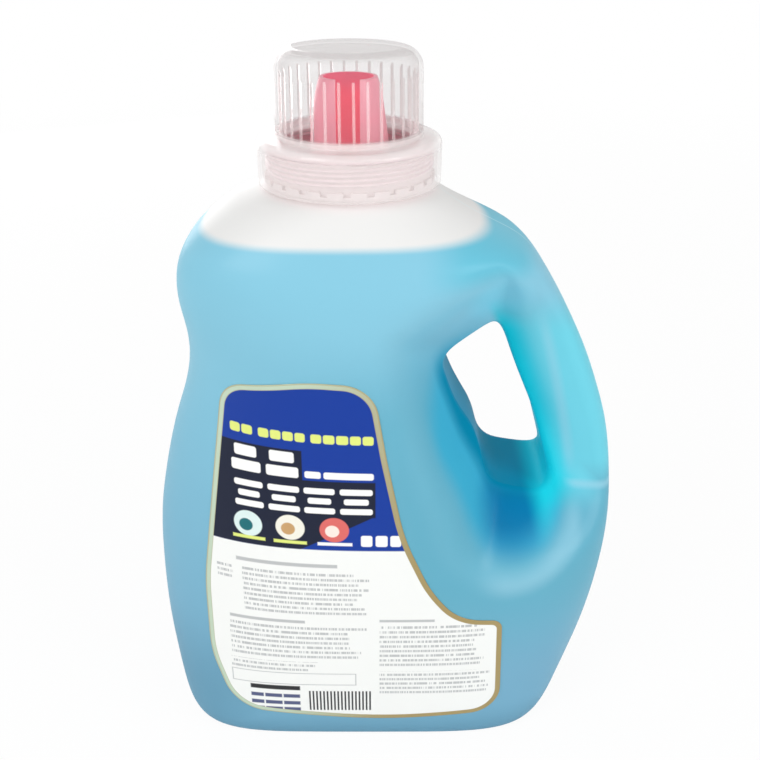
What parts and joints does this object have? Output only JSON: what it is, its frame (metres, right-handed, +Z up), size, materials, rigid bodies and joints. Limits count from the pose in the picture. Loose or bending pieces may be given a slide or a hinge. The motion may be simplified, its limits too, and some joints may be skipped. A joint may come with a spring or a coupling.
{
  "type": "laundry detergent bottle",
  "caption": "Squat translucent blow-moulded bottle of blue liquid with a hollow side handle, a slotted pouring spout under a clear ribbed dosing cap, and a die-cut front label.",
  "frame": {"origin": "middle of the base on the table: centre of the overall width and depth, at the standing ring", "axes": "+Z up, +X towards the handle side, -Y towards the labelled front"},
  "size_m": [0.1863, 0.101, 0.2704],
  "materials": {
    "bottle_plastic": "translucent natural polyethylene, blue from the liquid behind it",
    "blue_liquid": "clear blue liquid",
    "pink_plastic": "coral pink polyethylene",
    "clear_plastic": "clear polypropylene with a faint grey cast",
    "label_film": "printed film, blue above and white below with a gold edge"
  },
  "bodies": {
    "bottle_body": {"bottle": "bottle_plastic", "detergent": "blue_liquid", "pour_spout": "pink_plastic", "front_label": "label_film"},
    "cap": {"dosing_cap": "clear_plastic", "cap_ribs": "clear_plastic"}
  },
  "joints": [
    {"name": "cap_lift", "type": "slide", "parent": "bottle_body", "child": "cap", "axis": [0, 0, 1], "range_m": [0, 0.05]}
  ]
}
